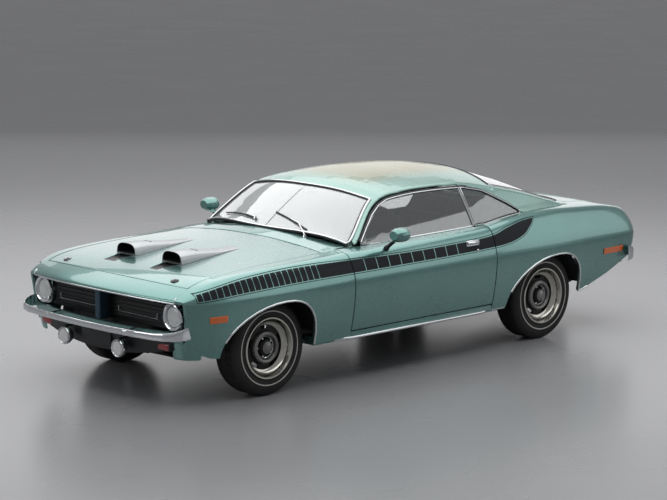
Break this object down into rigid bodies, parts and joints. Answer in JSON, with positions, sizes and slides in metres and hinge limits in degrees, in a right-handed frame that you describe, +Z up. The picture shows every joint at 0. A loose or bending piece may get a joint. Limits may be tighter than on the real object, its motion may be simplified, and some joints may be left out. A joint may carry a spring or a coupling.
{
  "type": "muscle car",
  "caption": "Two-door hardtop muscle car with opening doors, hood and trunk lid, steered front wheels and rolling wheels.",
  "frame": {"origin": "on the ground under the middle of the car", "axes": "-Y towards the nose, +Y towards the tail, +X to the car's left side, +Z up"},
  "size_m": [2.138, 4.742, 1.3149],
  "materials": {
    "body_paint": "metallic gloss",
    "roof_paint": "metallic gloss",
    "chassis_black": "satin",
    "trim_black": "satin",
    "chrome": "polished",
    "lamp_glass": "clear",
    "amber_lens": "gloss",
    "red_lens": "gloss",
    "glass": "clear",
    "interior": "satin",
    "engine_iron": "painted",
    "exhaust_steel": "satin",
    "bare_steel": "bare",
    "wheel_steel": "polished",
    "tyre": "matte"
  },
  "bodies": {
    "body": {"floor_pan": "chassis_black", "frame": "chassis_black", "wheel_houses": "chassis_black", "cowl": "body_paint", "nose_panel": "body_paint", "grille": "trim_black", "headlights": "lamp_glass", "front_bumper": "chrome", "road_lamps": "chrome", "front_valance": "trim_black", "marker_lamps": "amber_lens", "fenders": "body_paint", "rockers": "body_paint", "quarter_panels": "body_paint", "roof": "roof_paint", "sail_panels": "roof_paint", "windshield": "glass", "rear_window": "glass", "quarter_glass": "glass", "rear_deck": "body_paint", "tail_panel": "body_paint", "tail_lamps": "red_lens", "rear_bumper": "chrome", "plate_bracket": "chassis_black", "dashboard": "interior", "front_seats": "interior", "rear_seat": "interior", "engine": "engine_iron", "rear_axle": "chassis_black", "suspension": "chassis_black", "exhaust": "exhaust_steel", "fuel_tank": "chassis_black"},
    "hood": {"hood": "body_paint", "hood_scoops": "chrome"},
    "trunk_lid": {"trunk_lid": "body_paint"},
    "door_left": {"door_left": "body_paint", "door_glass_left": "glass", "mirror_left": "body_paint"},
    "door_right": {"door_right": "body_paint", "door_glass_right": "glass", "mirror_right": "body_paint"},
    "steering_wheel": {"steering_wheel": "interior"},
    "knuckle_left": {"knuckle_left": "bare_steel"},
    "knuckle_right": {"knuckle_right": "bare_steel"},
    "wheel_front_left": {"wheel_front_left": "wheel_steel", "tyre_front_left": "tyre"},
    "wheel_front_right": {"wheel_front_right": "wheel_steel", "tyre_front_right": "tyre"},
    "wheel_rear_left": {"wheel_rear_left": "wheel_steel", "tyre_rear_left": "tyre"},
    "wheel_rear_right": {"wheel_rear_right": "wheel_steel", "tyre_rear_right": "tyre"}
  },
  "joints": [
    {"name": "door_left_hinge", "type": "hinge", "parent": "body", "child": "door_left", "pos_m": [0.921, -0.671, 0.6], "axis": [0, 0, -1], "range_deg": [0, 65]},
    {"name": "door_right_hinge", "type": "hinge", "parent": "body", "child": "door_right", "pos_m": [-0.921, -0.671, 0.6], "axis": [0, 0, 1], "range_deg": [0, 65]},
    {"name": "hood_hinge", "type": "hinge", "parent": "body", "child": "hood", "pos_m": [0, -0.956, 0.941], "axis": [-1, 0, 0], "range_deg": [0, 50]},
    {"name": "trunk_hinge", "type": "hinge", "parent": "body", "child": "trunk_lid", "pos_m": [0, 1.879, 0.98], "axis": [1, 0, 0], "range_deg": [0, 55]},
    {"name": "steer_left", "type": "hinge", "parent": "body", "child": "knuckle_left", "pos_m": [0.6825, -1.431, 0.325], "axis": [0, 0, 1], "range_deg": [-30, 30]},
    {"name": "steer_right", "type": "hinge", "parent": "body", "child": "knuckle_right", "pos_m": [-0.6825, -1.431, 0.325], "axis": [0, 0, 1], "range_deg": [-30, 30]},
    {"name": "steering_wheel_turn", "type": "hinge", "parent": "body", "child": "steering_wheel", "pos_m": [0.37, -0.336, 0.8], "axis": [0, 0.9135, 0.4067], "range_deg": [-480, 480]},
    {"name": "wheel_front_left_roll", "type": "hinge", "parent": "knuckle_left", "child": "wheel_front_left", "pos_m": [0.7445, -1.431, 0.325], "axis": [1, 0, 0], "continuous": true},
    {"name": "wheel_rear_left_roll", "type": "hinge", "parent": "body", "child": "wheel_rear_left", "pos_m": [0.7445, 1.312, 0.325], "axis": [1, 0, 0], "continuous": true},
    {"name": "wheel_front_right_roll", "type": "hinge", "parent": "knuckle_right", "child": "wheel_front_right", "pos_m": [-0.7445, -1.431, 0.325], "axis": [1, 0, 0], "continuous": true},
    {"name": "wheel_rear_right_roll", "type": "hinge", "parent": "body", "child": "wheel_rear_right", "pos_m": [-0.7445, 1.312, 0.325], "axis": [1, 0, 0], "continuous": true}
  ],
  "couplings": [
    {"joint": "steer_right", "follows": "steer_left", "ratio": 1},
    {"joint": "steering_wheel_turn", "follows": "steer_left", "ratio": 16}
  ]
}
